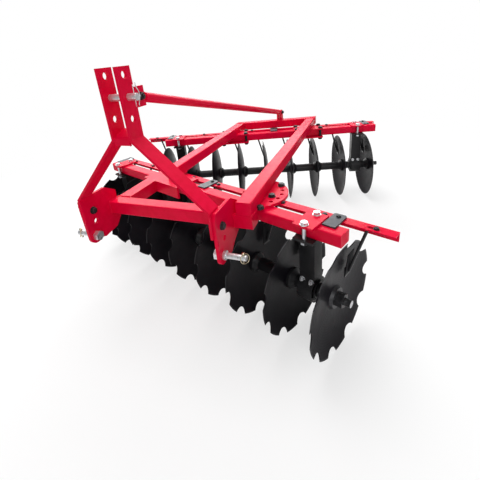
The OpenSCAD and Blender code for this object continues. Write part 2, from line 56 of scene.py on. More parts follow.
# %% Places
MIDDLE = Vector((26, 1039, 0))
SEAT = 650  # top of the front crossbar


def from_hitch(x, y, z):
    return (Vector((x, y, z)) - MIDDLE) * MM


class Gang:
    """The first disc's place, the beam's turn, the side the discs bulge to, and the beam's top."""

    def __init__(self, body, x, y, turn, dish, top):
        self.body, self.dish, self.top = body, dish, top
        self.start = Vector((x, y, 0))
        self.turn = math.radians(turn)
        self.along = Vector((math.cos(self.turn), math.sin(self.turn), 0))
        self.across = Vector((-math.sin(self.turn), math.cos(self.turn), 0))

    def at(self, u, v, z):
        return (self.start + self.along * u + self.across * v + Vector((0, 0, z)) - MIDDLE) * MM


FRONT = Gang("front_gang", 846, 133, -21, 1, 634)
REAR = Gang("rear_gang", 954, 1973, 18, -1, 650)
GANGS = (FRONT, REAR)
DISCS, PITCH, RIM, AXLE_Z = 9, 230, 280, 280
GANG_L = (DISCS - 1) * PITCH
HANGERS = (120, GANG_L - PITCH + 120)
HOLDERS = (35, GANG_L * 0.46, GANG_L - 25)
print("gang length:", GANG_L, "mm")

# %% [markdown]
# Node trees are graphs of arithmetic, and typing them link by link hides the formula. A small class
# that wraps one socket lets Python's own operators add the Math nodes, so a mask reads as it would on
# paper. The second class adds any other node: its settings come first, then its inputs.

# %% A number in a node tree
def feed(tree, slot, value):
    """Links a socket to an input, or writes a plain value into it."""
    if isinstance(value, Num):
        value = value.socket
    if isinstance(value, bpy.types.NodeSocket):
        tree.links.new(value, slot)
    else:
        slot.default_value = value


class Num:
    def __init__(self, tree, socket):
        self.tree, self.socket = tree, socket

    def math(self, operation, *values, clamp=False):
        node = self.tree.nodes.new("ShaderNodeMath")
        node.operation, node.use_clamp = operation, clamp
        for slot, value in zip(node.inputs, values):
            feed(self.tree, slot, value)
        return Num(self.tree, node.outputs[0])

    def __add__(self, other): return self.math("ADD", self, other)
    def __radd__(self, other): return self.math("ADD", other, self)
    def __sub__(self, other): return self.math("SUBTRACT", self, other)
    def __rsub__(self, other): return self.math("SUBTRACT", other, self)
    def __mul__(self, other): return self.math("MULTIPLY", self, other)
    def __rmul__(self, other): return self.math("MULTIPLY", other, self)
    def __truediv__(self, other): return self.math("DIVIDE", self, other)
    def __rtruediv__(self, other): return self.math("DIVIDE", other, self)
    def __gt__(self, other): return self.math("GREATER_THAN", self, other)
    def __lt__(self, other): return self.math("LESS_THAN", self, other)
    def __neg__(self): return self.math("MULTIPLY", self, -1.0)
    def sin(self): return self.math("SINE", self)
    def cos(self): return self.math("COSINE", self)
    def asin(self): return self.math("ARCSINE", self)
    def root(self): return self.math("SQRT", self)
    def whole(self): return self.math("FLOOR", self)
    def clamped(self): return self.math("ADD", self, 0.0, clamp=True)
    def least(self, other): return self.math("MINIMUM", self, other)
    def most(self, other): return self.math("MAXIMUM", self, other)
    def angle_to(self, other): return self.math("ARCTAN2", self, other)

    def ramp(self, low, high):
        return ((self - low) / (high - low)).clamped()


# %% Any other node
class Graph:
    def __init__(self, tree):
        self.tree = tree

    def node(self, kind, settings=None, inputs=None):
        node = self.tree.nodes.new(kind)
        for key, value in (settings or {}).items():
            setattr(node, key, value)
        for key, value in (inputs or {}).items():
            feed(self.tree, node.inputs[key], value)
        return node

    def number(self, kind, settings=None, inputs=None, output=0):
        return Num(self.tree, self.node(kind, settings, inputs).outputs[output])

    def given_number(self, key):
        """A named input of a Geometry Nodes tree."""
        return Num(self.tree, self.given[key])

    def split(self, vector):
        parts = self.node("ShaderNodeSeparateXYZ", None, {0: vector})
        return [Num(self.tree, parts.outputs[i]) for i in range(3)]

    def join(self, x, y, z):
        return self.node("ShaderNodeCombineXYZ", None, {0: x, 1: y, 2: z}).outputs[0]


print("node helpers ready")

# %% [markdown]
# Every finish starts from one Principled shader fed by Object coordinates, which stay put on the
# steel when the gangs turn. The helper hands back the graph, the shader and that place.

# %% The start of a finish
class Finish(Graph):
    def __init__(self, name, colour, metallic=0.0, roughness=0.5, coat=0.0, coat_roughness=0.1):
        self.material = bpy.data.materials.new(name)
        self.material.use_nodes = True
        super().__init__(self.material.node_tree)
        self.shader = self.tree.nodes["Principled BSDF"]
        self.set("Base Color", (*colour, 1))
        self.set("Metallic", metallic)
        self.set("Roughness", roughness)
        self.set("Coat Weight", coat)
        self.set("Coat Roughness", coat_roughness)
        self.place = self.node("ShaderNodeTexCoord").outputs["Object"]

    def set(self, socket, value):
        feed(self.tree, self.shader.inputs[socket], value)

    def noise(self, scale, detail):
        return self.number("ShaderNodeTexNoise", {"noise_dimensions": "3D"},
                           {"Vector": self.place, "Scale": scale, "Detail": detail})

    def blend(self, factor, a, b):
        """Mixes two colours; each is a tuple of three or a socket."""
        a, b = ((*colour, 1) if isinstance(colour, tuple) else colour for colour in (a, b))
        return self.node("ShaderNodeMix", {"data_type": "RGBA"}, {0: factor, 6: a, 7: b}).outputs[2]

    def bump(self, height, distance, strength):
        self.set("Normal", self.node("ShaderNodeBump", None, {
            "Height": height, "Distance": distance, "Strength": strength}).outputs[0])

    def on_gang(self, gang):
        """Along, across and up from the axle's end, in mm, on one gang."""
        x, y, z = self.split(self.place)
        start = gang.start - MIDDLE
        dx, dy = x * 1000 - start.x, y * 1000 - start.y
        return (dx * gang.along.x + dy * gang.along.y,
                dx * gang.across.x + dy * gang.across.y, z * 1000)


print("finish helper ready")

# %% [markdown]
# The frame is sprayed with glossy red enamel straight after welding. Real spray paint is never one
# colour: it is a little thinner and brighter in places, it has a fine orange-peel skin that breaks up
# reflections, and a thin clear gloss over it. Noises of four sizes make its clouds, its mottling,
# its waves and its peel.

# %% Red enamel
DEEP_RED, BRIGHT_RED = (0.60, 0.0008, 0.024), (0.78, 0.0016, 0.048)
ENAMEL_COAT = 0.085


def enamel(name):
    red = Finish(name, BRIGHT_RED, roughness=0.40, coat=ENAMEL_COAT, coat_roughness=0.12)
    red.set("Specular IOR Level", 0.04)
    cloud = red.noise(2.6, 3.0).ramp(0.32, 0.68)
    mottle = red.noise(38.0, 2.0).ramp(0.35, 0.65)
    red.set("Base Color", red.blend(cloud * 0.6 + mottle * 0.25, DEEP_RED, BRIGHT_RED))
    red.set("Roughness", 0.32 + 0.10 * mottle + 0.05 * cloud)
    peel = red.noise(310.0, 1.0)
    wave = red.noise(55.0, 1.0)
    red.bump(peel * 0.6 + wave * 0.6, 0.0004, 0.20)
    return red


red = enamel("red enamel")
print("finish:", red.material.name)

# %% [markdown]
# Clamps and rear brackets are red plates with bare studs: bright zinc on the clamps, blackened on the
# brackets. The plates are flat layers at known heights, so a mask on the height above the ground
# tells paint from stud.

# %% Red plates with bare studs
PLATE, SKIN = 12, 0.3  # a plate's thickness, and how far its paint reaches past its faces
BRACKET_TOP, BRACKET_FOOT = 650, 578  # undersides of a rear bracket's two plates
BLACKENED = (0.020, 0.020, 0.022), (0.045, 0.045, 0.048)


def plates_with_studs(name, undersides, dark, light):
    both = enamel(name)
    height = both.split(both.place)[2] * 1000
    paint = sum((height > low - SKIN) * (height < low + PLATE + SKIN) for low in undersides)
    bare = 1 - paint.clamped()
    speck = both.noise(140.0, 2.0)
    painted = both.shader.inputs["Base Color"].links[0].from_socket
    steel = both.blend(speck, dark, light)
    both.set("Base Color", both.blend(bare, painted, steel))
    both.set("Metallic", bare)
    both.set("Roughness", 0.36 - 0.06 * bare + 0.06 * speck)
    both.set("Coat Weight", ENAMEL_COAT - ENAMEL_COAT * bare)
    return both


clamp_finish = {
    gang: plates_with_studs("red clamp, zinc studs " + gang.body, [gang.top],
                            (0.50, 0.51, 0.54), (0.72, 0.73, 0.76))
    for gang in GANGS}
bracket_finish = plates_with_studs("red bracket, black studs", [BRACKET_TOP, BRACKET_FOOT],
                                   *BLACKENED)
print("stud finishes:", len(clamp_finish) + 1)

# %% [markdown]
# Bolts, pins and nuts are zinc plated: pale, slightly bluish metal whose shine changes in small
# patches. The same recipe with a dark base gives blackened bolts.

# %% Plated and blackened steel
def plated(name, dark, light, metallic, roughness, scale=120.0):
    steel = Finish(name, light, metallic=metallic, roughness=roughness)
    patch = steel.noise(scale, 3.0).ramp(0.3, 0.7)
    steel.set("Base Color", steel.blend(patch, dark, light))
    steel.set("Roughness", roughness - 0.08 + 0.16 * patch)
    steel.bump(steel.noise(scale * 4, 1.0), 0.0004, 0.4)
    return steel


zinc = plated("zinc plate", (0.64, 0.65, 0.67), (0.82, 0.83, 0.85), 0.8, 0.34, 60.0)
black_bolt = plated("blackened bolt steel", *BLACKENED, 0.55, 0.42)
brass = plated("yellow plated ring", (0.52, 0.44, 0.28), (0.74, 0.66, 0.48), 1.0, 0.30, 300.0)
grey_coat = plated("grey primer coat", (0.026, 0.028, 0.036), (0.046, 0.049, 0.060), 0.1, 0.50,
                   60.0)
print("metals: zinc, black, yellow, grey")

# %% [markdown]
# Hangers, bearings, scrapers and spools are dipped in black paint. It is less wet than the red, dries
# a little uneven on castings, and gathers a fine grain.

# %% Black paint
def black_paint(name, roughness, grain):
    black = Finish(name, (0.012, 0.012, 0.013), roughness=roughness, coat=0.12, coat_roughness=0.22)
    black.set("Specular IOR Level", 0.20)
    cloud = black.noise(9.0, 3.0).ramp(0.3, 0.7)
    black.set("Base Color", black.blend(cloud, (0.008, 0.008, 0.009), (0.020, 0.020, 0.022)))
    black.set("Roughness", roughness + 0.12 * cloud)
    black.bump(black.noise(260.0, 2.0) + black.noise(30.0, 1.0), grain, 0.5)
    return black


black_plate = black_paint("black paint on plate", 0.30, 0.0006)
black_cast = black_paint("black paint on castings", 0.38, 0.0016)
# The blades' black has no coat and little shine. Besides their own paint, it stands as painted shade.
blade_black_and_shade = black_paint("matt black on blades", 0.50, 0.0008)
blade_black_and_shade.set("Specular IOR Level", 0.02)
blade_black_and_shade.set("Coat Weight", 0.0)
print("black paints: plate, casting, blade")

# %% [markdown]
# A disc is pressed from boron steel, ground at the rim and sprayed black. The spray follows the
# turning of the disc, so its sheen changes in faint rings round the axle. A thin lighter line at the
# rim is partly the bare ground edge and partly a painted highlight. Both depend on one number: how
# far a point is from the axle.

# %% Disc finish
def disc_finish(gang, sheen):
    black = Finish("black disc " + gang.body, (0.012, 0.012, 0.013), roughness=0.30,
                   coat=sheen * 0.6, coat_roughness=0.18)
    black.set("Specular IOR Level", sheen)
    u, v, z = black.on_gang(gang)
    up = z - AXLE_Z
    radius = (v * v + up * up).root()
    rings = (radius * 0.55).sin() * 0.5 + 0.5
    cloud = black.noise(6.0, 3.0).ramp(0.3, 0.7)
    # The rim line: partly the bare ground edge, partly a painted highlight.
    ground_and_highlight = radius.ramp(RIM - 9, RIM - 4)
    paint = black.blend(cloud, (0.0045, 0.0040, 0.0060), (0.0120, 0.0105, 0.0135))
    black.set("Base Color", black.blend(ground_and_highlight * 0.55, paint, (0.085, 0.086, 0.09)))
    black.set("Metallic", ground_and_highlight * 0.6)
    black.set("Roughness", 0.27 + 0.05 * rings + 0.12 * cloud + 0.05 * ground_and_highlight)
    black.bump(rings * 0.25 + black.noise(45.0, 1.0) + black.noise(300.0, 1.0) * 0.3, 0.0009, 0.4)
    return black


# Both sets are the same paint: the rear set's weaker sheen darkens it, as painted shade.
disc_finishes = {FRONT: disc_finish(FRONT, 0.060), REAR: disc_finish(REAR, 0.025)}
print("disc finishes:", len(disc_finishes))

# %% [markdown]
# The axle ends are turned bright where the lathe cut them and stay dark everywhere else. The mask
# here is the distance along the axle past the nut.

# %% Axle finish
NUT_END = 81.4  # from an end disc to the far face of the axle's nut


def axle_finish(gang):
    dark = Finish("forged axle steel " + gang.body, (0.05, 0.05, 0.052), metallic=0.75,
                  roughness=0.42)
    u, v, z = dark.on_gang(gang)
    past = (u - NUT_END).most(-NUT_END - GANG_L - u)
    cut = past.ramp(0, 0.4)
    patch = dark.noise(45.0, 3.0).ramp(0.3, 0.7)
    rough = dark.blend(patch, (0.022, 0.022, 0.024), (0.060, 0.060, 0.064))
    up = z - AXLE_Z
    lathe = ((v * v + up * up).root() * 5.0).sin() * 0.5 + 0.5
    dark.set("Base Color", dark.blend(cut, rough, (0.55, 0.55, 0.57)))
    dark.set("Metallic", 0.6 + 0.4 * cut)
    dark.set("Roughness", 0.40 - 0.12 * cut + 0.12 * patch)
    dark.bump(dark.noise(180.0, 2.0) * (1 - cut) + lathe * cut * 0.4, 0.0008, 0.5)
    return dark


axle_finishes = {gang: axle_finish(gang) for gang in GANGS}
print("axle finishes:", len(axle_finishes))

# %% [markdown]
# Now each CAD piece gets its finish by name. Anything that isn't in the table is painted red, because
# the frame is the larger part of the machine.

# %% Finishes on the CAD pieces
finish_of = {
    "top_link_pin": zinc, "hitch_pin_left": zinc, "hitch_pin_right": zinc,
    "rear_bracket_left": bracket_finish, "rear_bracket_right": bracket_finish,
    "front_clamps": clamp_finish[FRONT], "rear_clamps": clamp_finish[REAR],
    "front_scraper_holders": grey_coat, "rear_scraper_holders": grey_coat,
    "front_axle": axle_finishes[FRONT], "rear_axle": axle_finishes[REAR],
    "front_discs": disc_finishes[FRONT], "rear_discs": disc_finishes[REAR],
}
for name in ("front_hangers", "rear_hangers", "front_scrapers", "rear_scrapers"):
    finish_of[name] = black_plate
for name in ("front_bearings", "rear_bearings", "front_spools", "rear_spools"):
    finish_of[name] = black_cast


def dress(obj, finish):
    obj.data.materials.clear()
    obj.data.materials.append(finish.material)


for name, obj in nodes.items():
    dress(obj, finish_of.get(name, red))
print("dressed:", len(nodes))

# %% [markdown]
# Repeated and rule-shaped pieces come from Geometry Nodes. One function runs a tree: it puts the
# modifier on a carrier mesh, sets the named inputs, takes the result as a plain mesh and cleans its
# normals, so that the finished piece no longer depends on the tree.

# %% Running a node tree
def new_tree(name, inputs):
    tree = bpy.data.node_groups.new(name, "GeometryNodeTree")
    tree.interface.new_socket("Geometry", in_out="INPUT", socket_type="NodeSocketGeometry")
    kinds = {float: "NodeSocketFloat", int: "NodeSocketInt", tuple: "NodeSocketVector"}
    for key, value in inputs.items():
        kind = "NodeSocketMaterial" if value is None else kinds[type(value)]
        socket = tree.interface.new_socket(key, in_out="INPUT", socket_type=kind)
        if value is not None:
            socket.default_value = value
    tree.interface.new_socket("Geometry", in_out="OUTPUT", socket_type="NodeSocketGeometry")
    graph = Graph(tree)
    graph.given = graph.node("NodeGroupInput").outputs
    return graph


def close_tree(graph, geometry, smooth):
    """Ends a tree: real mesh, smooth faces with sharp edges past an angle, and the finish."""
    shape = graph.node("GeometryNodeRealizeInstances", None, {0: geometry}).outputs[0]
    shape = graph.node("GeometryNodeSetShadeSmooth", {"domain": "FACE"}, {0: shape}).outputs[0]
    edge = graph.number("GeometryNodeInputMeshEdgeAngle")
    shape = graph.node("GeometryNodeSetShadeSmooth", {"domain": "EDGE"}, {
        0: shape, "Selection": edge > math.radians(smooth), "Shade Smooth": False}).outputs[0]
    shape = graph.node("GeometryNodeSetMaterial", None, {
        0: shape, "Material": graph.given["Finish"]}).outputs[0]
    graph.node("NodeGroupOutput", None, {0: shape})


def add(name, data):
    """A new object that shows in the scene."""
    obj = bpy.data.objects.new(name, data)
    bpy.context.collection.objects.link(obj)
    return obj


def add_mesh(name, verts, faces):
    mesh = bpy.data.meshes.new(name)
    mesh.from_pydata(verts, [], faces)
    return add(name, mesh)


def soften(obj, width):
    bevel = obj.modifiers.new("soft edges", "BEVEL")
    bevel.width, bevel.segments = width * MM, 2


def clean(mesh, distance=1e-6, outward=True):
    shape = bmesh.new()
    shape.from_mesh(mesh)
    bmesh.ops.remove_doubles(shape, verts=shape.verts, dist=distance)
    if outward:
        bmesh.ops.recalc_face_normals(shape, faces=shape.faces)
    shape.to_mesh(mesh)
    shape.free()


def settle(obj, name, finish, body):
    """Turns an object with modifiers into a plain piece that rides on a body."""
    view = bpy.context.evaluated_depsgraph_get()
    mesh = bpy.data.meshes.new_from_object(obj.evaluated_get(view))
    bpy.data.objects.remove(obj)
    clean(mesh)
    piece = add(name, mesh)
    dress(piece, finish)
    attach(piece, body)
    mesh.calc_loop_triangles()
    print(f"{name}: {len(mesh.loop_triangles)} triangles on {body}")
    return piece


def grow(graph, name, finish, slot, body, base=None, **values):
    carrier = add(name + "_carrier", base or bpy.data.meshes.new(name))
    modifier = carrier.modifiers.new("grow", "NODES")
    modifier.node_group = graph.tree
    values["Finish"] = finish.material
    for item in graph.tree.interface.items_tree:
        key = item.name.replace(" ", "_")
        if item.in_out == "INPUT" and key in values:
            modifier[item.identifier] = values[key]
    return settle(carrier, name, finish, body)


def points_in_line(g):
    """Count points, a Pitch apart along X."""
    return g.node("GeometryNodeMeshLine", {"mode": "OFFSET"}, {
        "Count": g.given["Count"], "Offset": g.join(g.given_number("Pitch"), 0.0, 0.0)}).outputs[0]


def stood_in_place(g, shape):
    return g.node("GeometryNodeTransform", None, {
        0: shape, "Translation": g.given["Place"], "Rotation": g.given["Turn"]}).outputs[0]


def aimed(g):
    """The rotation that points Z along the direction stored with each point."""
    axis = g.node("GeometryNodeInputNamedAttribute", {"data_type": "FLOAT_VECTOR"}, {
        "Name": "axis"}).outputs[0]
    return g.node("FunctionNodeAlignRotationToVector", {"axis": "Z"}, {"Vector": axis}).outputs[0]


print("tree runner ready")

# %% [markdown]
# A disc is a plate pressed into a bowl, with ten round notches bitten out of the front ones. A
# straight grid can become that plate by a formula. Its columns go round the rim, a share of them
# along a notch and the rest along the land between two notches. Its rows go out along the back of
# the plate, over the edge and home along the front. Nine copies then hang on a line, each turned a
# little, as they end up when a gang is bolted together.

# %% The disc as a formula
disc_tree = new_tree("pressed discs", {
    "Finish": None, "Rim Radius": RIM * MM, "Notches": 10.0, "Notch Radius": 42 * MM,
    "Notch Out": 8 * MM, "Notch Share": 0.6, "Columns": 20, "Rows": 14, "Hub Radius": 25 * MM,
    "Flat Radius": 60 * MM, "Bowl Radius": 690.2 * MM, "Thickness": 5 * MM, "Edge": 1.5 * MM,
    "Bevel": 14 * MM, "Dish Side": 1.0, "Count": DISCS, "Pitch": -PITCH * MM,
    "Turn Start": math.radians(1.5), "Turn Step": math.radians(-14),
    "Place": (0.0, 0.0, 0.0), "Turn": (0.0, 0.0, 0.0)})
NUDGE = 0.0005  # settles which column or ring a point counts to, and keeps the edge's ring apart


def disc_outline(g, around):
    """Angle and radius of the rim at a share of the way round."""
    rim, notch, out, share, count = (g.given_number(k) for k in (
        "Rim Radius", "Notch Radius", "Notch Out", "Notch Share", "Notches"))
    step = 2 * math.pi / count
    along = around * count
    number = (along + NUDGE).whole()
    part = (along - number).most(0)
    middle = rim + out
    start = ((middle * middle + notch * notch - rim * rim) / (middle * notch * 2)).asin()
    swing = start + (part / share).clamped() * (math.pi - 2 * start)
    x, y = middle - notch * swing.sin(), -(notch * swing.cos())
    in_notch = y.angle_to(x)
    half = (notch * start.cos()).angle_to(middle - notch * start.sin())
    land = half + ((part - share) / (1 - share)) * (step - 2 * half)
    on_land = part > share
    angle = (number + 0.5) * step + in_notch * (1 - on_land) + land * on_land
    radius = (x * x + y * y).root() * (1 - on_land) + rim * on_land
    return angle, radius


def disc_shape(g):
    rows, columns, notches, hub, flat, bowl, thickness, edge, bevel, rim, side = (
        g.given_number(k) for k in (
            "Rows", "Columns", "Notches", "Hub Radius", "Flat Radius", "Bowl Radius", "Thickness",
            "Edge", "Bevel", "Rim Radius", "Dish Side"))
    grid = g.node("GeometryNodeMeshGrid", None, {
        "Size X": 1.0, "Size Y": 1.0, "Vertices X": columns * notches + 1,
        "Vertices Y": rows * 2 + 1})
    x, y, _ = g.split(g.node("GeometryNodeInputPosition").outputs[0])
    angle, edge_radius = disc_outline(g, x + 0.5)
    row = ((y + 0.5) * (rows * 2) + 0.5).whole()
    row = row - (row > rows * 2 - 0.5) * rows * 2
    front = row > rows - 0.5
    ring = row * (1 - front) + (rows * 2 - 1 - row) * front
    last = ring > rows - 1.5
    inner = (edge_radius - NUDGE).least(rim - bevel)
    share = (ring / (rows - 2)).clamped()
    radius = (hub + (inner - hub) * share) * (1 - last) + edge_radius * last
    out = (radius - flat).most(0)
    depth = bowl - (bowl * bowl - out * out).root()
    thin = ((radius - rim + bevel) / bevel).clamped()
    wall = thickness + (edge - thickness) * thin
    depth = depth + (front * 2 - 1) * wall / 2
    place = g.join(depth * side, radius * angle.sin(), -(radius * angle.cos()))
    return g.node("GeometryNodeSetPosition", None, {
        0: grid.outputs[0], "Position": place}).outputs[0]


def nine_on_a_line(g, shape):
    index = g.number("GeometryNodeInputIndex")
    turn = g.given_number("Turn Start") + index * g.given_number("Turn Step")
    turned = g.node("FunctionNodeEulerToRotation", None, {0: g.join(turn, 0.0, 0.0)}).outputs[0]
    many = g.node("GeometryNodeInstanceOnPoints", None, {
        "Points": points_in_line(g), "Instance": shape, "Rotation": turned}).outputs[0]
    return stood_in_place(g, many)


close_tree(disc_tree, nine_on_a_line(disc_tree, disc_shape(disc_tree)), smooth=22)
print("disc tree nodes:", len(disc_tree.tree.nodes))

# %% The two sets of discs
for gang in GANGS:
    # A plain disc is one whose notches have next to no size.
    notch = {} if gang is FRONT else {
        "Notches": 8.0, "Notch_Radius": 0.02 * MM, "Notch_Out": 0.0, "Notch_Share": 0.05,
        "Turn_Start": 0.0, "Turn_Step": 0.0}
    grow(disc_tree, gang.body + "_dished_discs", disc_finishes[gang], "disc_black",
                       gang.body, Dish_Side=float(gang.dish), Place=tuple(gang.at(0, 0, AXLE_Z)),
                       Turn=(0.0, 0.0, gang.turn), **notch)
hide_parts("front_discs")
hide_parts("rear_discs")

# %% [markdown]
# A hex bolt is always the same form in another size: a washer, a six-sided head whose corners are
# turned off, and the end of a stem past it. One tree makes them all. The places are bare points that
# carry the direction of the bolt, and a fixed seed turns each head by its own angle. The parts are
# closed shells that reach a little into each other.

# %% The hex bolt tree
bolt_tree = new_tree("hex bolts", {
    "Finish": None, "Across Flats": 0.024, "Head": 0.012, "Washer": 0.036, "Washer Thickness": 0.003,
    "Stem": 0.014, "Stem Length": 0.004})
SUNK = 0.0003  # how far a shell starts inside the one below it
INSET = 0.00004  # keeps the rims of two shells apart
ROUND, STEM_SIDES = 28, 18
WASHER_FLAT, HEAD_FLAT = 0.8, 0.84  # shares of the height below the chamfer


def raised(g, shape, lift):
    return g.node("GeometryNodeTransform", None, {
        0: shape, "Translation": g.join(0.0, 0.0, lift)}).outputs[0]


def cylinder(g, sides, radius, depth, base):
    """A cylinder that stands on a height above the seat."""
    return raised(g, g.node("GeometryNodeMeshCylinder", None, {
        "Vertices": sides, "Radius": radius, "Depth": depth}).outputs[0], base + depth / 2)


def cone(g, sides, low, high, depth, base):
    """A chamfer from one radius to another, on a height above the seat."""
    return raised(g, g.node("GeometryNodeMeshCone", None, {
        "Vertices": sides, "Radius Bottom": low, "Radius Top": high,
        "Depth": depth}).outputs[0], base)


def hex_bolts(g):
    flats, height, washer, seat, stem, past = (g.given_number(k) for k in (
        "Across Flats", "Head", "Washer", "Washer Thickness", "Stem", "Stem Length"))
    corner, disc, shank = flats / math.sqrt(3), washer / 2, stem / 2
    chamfer, tip = 0.0006, 0.0012
    shells = (
        cylinder(g, ROUND, disc, seat * WASHER_FLAT, -SUNK),
        cone(g, ROUND, disc - INSET, disc - chamfer, seat * (1 - WASHER_FLAT) + SUNK,
             seat * WASHER_FLAT - 2 * SUNK),
        cylinder(g, 6, corner, height * HEAD_FLAT, seat - 2 * SUNK),
        cone(g, 6, corner * 0.998, corner * 0.88, height * (1 - HEAD_FLAT) + SUNK,
             seat + height * HEAD_FLAT - 3 * SUNK),
        cylinder(g, STEM_SIDES, shank, past + 2 * SUNK, seat + height - 3 * SUNK),
        cone(g, STEM_SIDES, shank - INSET, shank - tip, tip, seat + height + past - 2 * SUNK),
    )
    whole = g.node("GeometryNodeJoinGeometry")
    for shell in shells:
        g.tree.links.new(shell, whole.inputs[0])
    spin = g.number("FunctionNodeRandomValue", {"data_type": "FLOAT"}, {
        2: 0.0, 3: 6.28, "Seed": 7}, 1)
    turn = g.node("FunctionNodeEulerToRotation", None, {0: g.join(0.0, 0.0, spin)}).outputs[0]
    spun = g.node("FunctionNodeRotateRotation", {"rotation_space": "LOCAL"}, {
        0: aimed(g), 1: turn}).outputs[0]
    return g.node("GeometryNodeInstanceOnPoints", None, {
        "Points": g.given["Geometry"], "Instance": whole.outputs[0], "Rotation": spun}).outputs[0]


close_tree(bolt_tree, hex_bolts(bolt_tree), smooth=30)
print("bolt tree nodes:", len(bolt_tree.tree.nodes))


def points(name, places):
    """A mesh of bare points, each with the direction of its bolt."""
    mesh = bpy.data.meshes.new(name)
    mesh.from_pydata([p for p, _ in places], [], [])
    axis = mesh.attributes.new("axis", "FLOAT_VECTOR", "POINT")
    for i, (_, way) in enumerate(places):
        axis.data[i].vector = Vector(way)
    return mesh


def bolts(name, places, sizes, finish=black_bolt, slot="dark_steel"):
    """Sizes in mm: across flats, head, washer, washer's thickness, stem, stem past the head."""
    flats, head, washer, thickness, stem, past = (size * MM for size in sizes)
    grow(bolt_tree, name, finish, slot, "frame", points(name, places), Across_Flats=flats,
         Head=head, Washer=washer, Washer_Thickness=thickness, Stem=stem, Stem_Length=past)


UP, DOWN = Vector((0, 0, 1)), Vector((0, 0, -1))
FLUSH = 0.2  # a stem that ends with its head

# %% [markdown]
# The studs of the clamps and rear brackets end in a washer and a nut. The tree's head is that nut.

# %% Studs of clamps and brackets
STUD_V, STUD_U = 53.5, 103  # a stud's place across the beam, and along it from a bracket's middle
STUD_NUT = (30.2, 12.5, 39, 3.2, 19.6, FLUSH)
RIGHT_TUBE, LEFT_TUBE = (397, 475), (-232, -154)  # the side tubes' faces, with the beads on them
studs, black_studs = [], []
for gang in GANGS:
    for place in HANGERS:
        for side in (-1, 1):
            studs.append((gang.at(-place, side * STUD_V, gang.top + PLATE), UP))
for tube in (RIGHT_TUBE, LEFT_TUBE):
    middle = (sum(tube) / 2 - REAR.start.x) / math.cos(REAR.turn)
    for along in (-STUD_U, STUD_U):
        for side in (-1, 1):
            for z, way in ((BRACKET_TOP + PLATE, UP), (BRACKET_FOOT, DOWN)):
                black_studs.append((REAR.at(middle + along, side * STUD_V, z), way))
bolts("stud_washers", studs, STUD_NUT, zinc, "zinc")
bolts("bracket_washers", black_studs, STUD_NUT)

# %% [markdown]
# The rest of the frame is held by blackened bolts: on the round adjusting plate, through the foot of
# the mast and on the scraper bars, where one bolt clamps each scraper under its slot.

# %% Black bolts
BAR_V, SCRAPER_U = 90, 130  # the scraper bar's middle, and a scraper's place along it from its disc
HOLDER_T = 8
MAST_FOOT = (353, 381)  # inner and outer face of a mast bar and its hitch plate
frame_bolts = [(from_hitch(x, y, SEAT), UP) for x, y in ((487, 226), (506, 365), (520, 509))]
for side in (-1, 1):
    for x, way in zip(reversed(MAST_FOOT), (side, -side)):
        frame_bolts.append((from_hitch(side * x, 12, 664), Vector((way, 0, 0))))
scraper_bolts = [(gang.at(-k * PITCH + gang.dish * SCRAPER_U, BAR_V, gang.top), UP)
                 for gang in GANGS for k in range(DISCS)]
holder_bolts = [(gang.at(-place, BAR_V + 3, gang.top + HOLDER_T), UP)
                for gang in GANGS for place in HOLDERS]
bolts("frame_bolts", frame_bolts, (30, 12, 40, 3.5, 14, FLUSH))
bolts("scraper_bolts", scraper_bolts, (20, 7, 26, 2, 11, FLUSH))
bolts("holder_bolts", holder_bolts, (18, 6, 23, 1.5, 10, FLUSH))

# %% Bolts through the tie rod's lugs
CROSSBAR_BACK = 175  # from the rear gang's line to the middle of the rear crossbar
LUGS_OUT = 21.5  # from the rod's middle to the outer face of a rear lug


def rear_line(x, back):
    """Y of a line beside the rear gang's beam, at a given X."""
    return REAR.start.y + (x - REAR.start.x) * math.tan(REAR.turn) + back / math.cos(REAR.turn)


tie_front = Vector((31, 66, 1218))
tie_rear = Vector((160, rear_line(160, CROSSBAR_BACK), 788))
heading = tie_rear - tie_front
side_way = Vector((heading.y, -heading.x, 0)).normalized()
lug_bolts = [(from_hitch(x, tie_front.y, tie_front.z), Vector((way, 0, 0)))
             for x, way in ((24, -1), (52, 1))]
lug_bolts += [(from_hitch(*(tie_rear + way * LUGS_OUT)), way) for way in (side_way, -side_way)]
bolts("tie_rod_bolts", lug_bolts, (27, 11, 34, 3, 16, 4))

# %% [markdown]
# The blade of a scraper is a tall plate on the rod's end. It leans away from the bowl of its disc, so
# that it stays clear of the rim as the disc turns. It is drawn wide and in matt black, so that it also
# stands as painted shade in the disc's hollow.

# %% Scraper blades
BLADE_T = 4.5
BLADE_ENDS = ((382, 24.5, 42, 94), (506, 39.5, 34, 92))  # z, u, and v from and to, foot and top
for gang, part in ((FRONT, "front"), (REAR, "rear")):
    verts, faces = [], []
    for k in range(DISCS):
        first = len(verts)
        for z, u, low, high in BLADE_ENDS:
            for du, v in ((0, low), (BLADE_T, low), (BLADE_T, high), (0, high)):
                verts.append(gang.at(-k * PITCH + gang.dish * (u + du), v, z))
        faces += [[first + i for i in face] for face in (
            (0, 1, 2, 3), (7, 6, 5, 4), (0, 4, 5, 1), (1, 5, 6, 2), (2, 6, 7, 3), (3, 7, 4, 0))]
    plate = add_mesh(part + " blades", verts, faces)
    soften(plate, 1)
    settle(plate, part + "_scraper_blades", blade_black_and_shade, "frame")

# %% [markdown]
# A bearing housing is bolted to the foot of its hanger. Its zinc nuts show on the front and back of
# the block.

